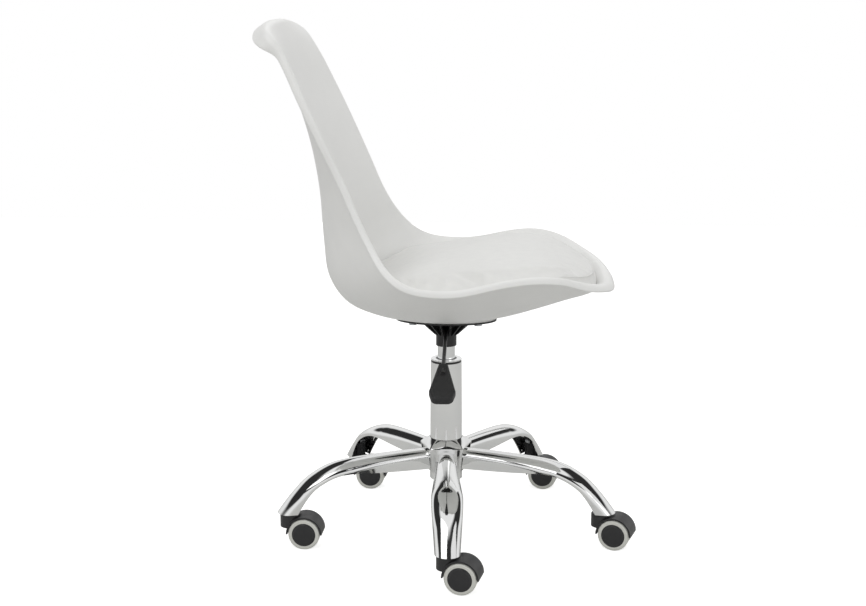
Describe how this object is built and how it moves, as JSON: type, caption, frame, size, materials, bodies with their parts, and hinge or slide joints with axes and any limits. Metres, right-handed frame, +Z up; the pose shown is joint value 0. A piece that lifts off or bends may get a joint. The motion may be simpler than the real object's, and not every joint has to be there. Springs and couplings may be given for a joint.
{
  "type": "swivel office chair",
  "caption": "Moulded bucket-seat office chair with a padded seat, gas lift, five-leg chrome base and twin-wheel casters.",
  "frame": {"origin": "on the floor, on the axis of the column", "axes": "+X to the front of the chair, +Y to the sitter's left, +Z up"},
  "size_m": [0.6001, 0.5283, 0.8284],
  "materials": {
    "chrome": "polished chrome plate",
    "tread": "light grey soft tread",
    "caster_plastic": "moulded black nylon, satin",
    "bush_plastic": "moulded black acetal",
    "black_enamel": "black powder coat",
    "lever_plastic": "moulded black plastic, satin",
    "shell_plastic": "white polypropylene, fine matt grain",
    "cushion_cover": "white leatherette, fine grain",
    "plywood": "bare plywood",
    "rubber": "black rubber",
    "brass": "machined brass",
    "socket_steel": "black painted steel",
    "bright_steel": "zinc plated steel"
  },
  "bodies": {
    "base": {"leg_back_left": "chrome", "leg_back_right": "chrome", "leg_left": "chrome", "leg_near": "chrome", "leg_right": "chrome", "base_hub": "chrome", "caster_sockets": "socket_steel", "socket_rivets": "bright_steel", "caster_stems": "bright_steel", "column_tube": "chrome", "column_bush": "bush_plastic", "column_cap": "chrome"},
    "lift_rod": {"piston_rod": "bright_steel", "thrust_bearing": "bright_steel", "bump_stop": "rubber", "column_clip": "bright_steel"},
    "seat": {"gas_cylinder": "chrome", "seat_plate": "black_enamel", "bolt_washers": "bright_steel", "plate_bolts": "bright_steel", "threaded_inserts": "brass", "seat_shell": "shell_plastic", "cushion_board": "plywood", "seat_cushion": "cushion_cover"},
    "lever": {"lever_rod": "black_enamel", "lever_handle": "lever_plastic"},
    "release_pin": {"release_pin": "bright_steel"},
    "caster_near": {"caster_near_housing": "caster_plastic", "caster_near_axle": "bright_steel"},
    "caster_near_inner_wheel": {"caster_near_inner_hub": "caster_plastic", "caster_near_inner_tread": "tread"},
    "caster_near_outer_wheel": {"caster_near_outer_hub": "caster_plastic", "caster_near_outer_tread": "tread"},
    "caster_right": {"caster_right_housing": "caster_plastic", "caster_right_axle": "bright_steel"},
    "caster_right_inner_wheel": {"caster_right_inner_hub": "caster_plastic", "caster_right_inner_tread": "tread"},
    "caster_right_outer_wheel": {"caster_right_outer_hub": "caster_plastic", "caster_right_outer_tread": "tread"},
    "caster_back_right": {"caster_back_right_housing": "caster_plastic", "caster_back_right_axle": "bright_steel"},
    "caster_back_right_inner_wheel": {"caster_back_right_inner_hub": "caster_plastic", "caster_back_right_inner_tread": "tread"},
    "caster_back_right_outer_wheel": {"caster_back_right_outer_hub": "caster_plastic", "caster_back_right_outer_tread": "tread"},
    "caster_back_left": {"caster_back_left_housing": "caster_plastic", "caster_back_left_axle": "bright_steel"},
    "caster_back_left_inner_wheel": {"caster_back_left_inner_hub": "caster_plastic", "caster_back_left_inner_tread": "tread"},
    "caster_back_left_outer_wheel": {"caster_back_left_outer_hub": "caster_plastic", "caster_back_left_outer_tread": "tread"},
    "caster_left": {"caster_left_housing": "caster_plastic", "caster_left_axle": "bright_steel"},
    "caster_left_inner_wheel": {"caster_left_inner_hub": "caster_plastic", "caster_left_inner_tread": "tread"},
    "caster_left_outer_wheel": {"caster_left_outer_hub": "caster_plastic", "caster_left_outer_tread": "tread"}
  },
  "joints": [
    {"name": "seat_swivel", "type": "hinge", "parent": "base", "child": "lift_rod", "pos_m": [0, 0, 0.092], "axis": [0, 0, 1], "continuous": true},
    {"name": "height_slide", "type": "slide", "parent": "lift_rod", "child": "seat", "axis": [0, 0, 1], "range_m": [0, 0.1]},
    {"name": "lever_pivot", "type": "hinge", "parent": "seat", "child": "lever", "pos_m": [0.00063, -0.01799, 0.33763], "axis": [-0.9994, -0.0349, 0], "range_deg": [0, 10], "stiffness_Nm_per_rad": 0.8, "springref_deg": -20.05},
    {"name": "release_pin_slide", "type": "slide", "parent": "seat", "child": "release_pin", "axis": [0, 0, -1], "range_m": [0, 0.0035]},
    {"name": "caster_near_swivel", "type": "hinge", "parent": "base", "child": "caster_near", "pos_m": [0.01814, -0.25937, 0.05], "axis": [0, 0, 1], "continuous": true},
    {"name": "caster_near_inner_roll", "type": "hinge", "parent": "caster_near", "child": "caster_near_inner_wheel", "pos_m": [0.04079, -0.26336, 0.025], "axis": [0.1736, 0.9848, 0], "continuous": true},
    {"name": "caster_near_outer_roll", "type": "hinge", "parent": "caster_near", "child": "caster_near_outer_wheel", "pos_m": [0.04079, -0.26336, 0.025], "axis": [0.1736, 0.9848, 0], "continuous": true},
    {"name": "caster_right_swivel", "type": "hinge", "parent": "base", "child": "caster_right", "pos_m": [0.25228, -0.0629, 0.05], "axis": [0, 0, 1], "continuous": true},
    {"name": "caster_right_inner_roll", "type": "hinge", "parent": "caster_right", "child": "caster_right_inner_wheel", "pos_m": [0.27439, -0.06924, 0.025], "axis": [0.2756, 0.9613, 0], "continuous": true},
    {"name": "caster_right_outer_roll", "type": "hinge", "parent": "caster_right", "child": "caster_right_outer_wheel", "pos_m": [0.27439, -0.06924, 0.025], "axis": [0.2756, 0.9613, 0], "continuous": true},
    {"name": "caster_back_right_swivel", "type": "hinge", "parent": "base", "child": "caster_back_right", "pos_m": [0.13778, 0.22049, 0.05], "axis": [0, 0, 1], "continuous": true},
    {"name": "caster_back_right_inner_roll", "type": "hinge", "parent": "caster_back_right", "child": "caster_back_right_inner_wheel", "pos_m": [0.16036, 0.2161, 0.025], "axis": [0.1908, 0.9816, 0], "continuous": true},
    {"name": "caster_back_right_outer_roll", "type": "hinge", "parent": "caster_back_right", "child": "caster_back_right_outer_wheel", "pos_m": [0.16036, 0.2161, 0.025], "axis": [0.1908, 0.9816, 0], "continuous": true},
    {"name": "caster_back_left_swivel", "type": "hinge", "parent": "base", "child": "caster_back_left", "pos_m": [-0.16712, 0.19917, 0.05], "axis": [0, 0, 1], "continuous": true},
    {"name": "caster_back_left_inner_roll", "type": "hinge", "parent": "caster_back_left", "child": "caster_back_left_inner_wheel", "pos_m": [-0.14418, 0.19757, 0.025], "axis": [0.0698, 0.9976, 0], "continuous": true},
    {"name": "caster_back_left_outer_roll", "type": "hinge", "parent": "caster_back_left", "child": "caster_back_left_outer_wheel", "pos_m": [-0.14418, 0.19757, 0.025], "axis": [0.0698, 0.9976, 0], "continuous": true},
    {"name": "caster_left_swivel", "type": "hinge", "parent": "base", "child": "caster_left", "pos_m": [-0.24107, -0.0974, 0.05], "axis": [0, 0, 1], "continuous": true},
    {"name": "caster_left_inner_roll", "type": "hinge", "parent": "caster_left", "child": "caster_left_inner_wheel", "pos_m": [-0.21807, -0.0978, 0.025], "axis": [0.0175, 0.9998, 0], "continuous": true},
    {"name": "caster_left_outer_roll", "type": "hinge", "parent": "caster_left", "child": "caster_left_outer_wheel", "pos_m": [-0.21807, -0.0978, 0.025], "axis": [0.0175, 0.9998, 0], "continuous": true}
  ],
  "couplings": [
    {"joint": "release_pin_slide", "follows": "lever_pivot", "m_per_rad": 0.018}
  ]
}
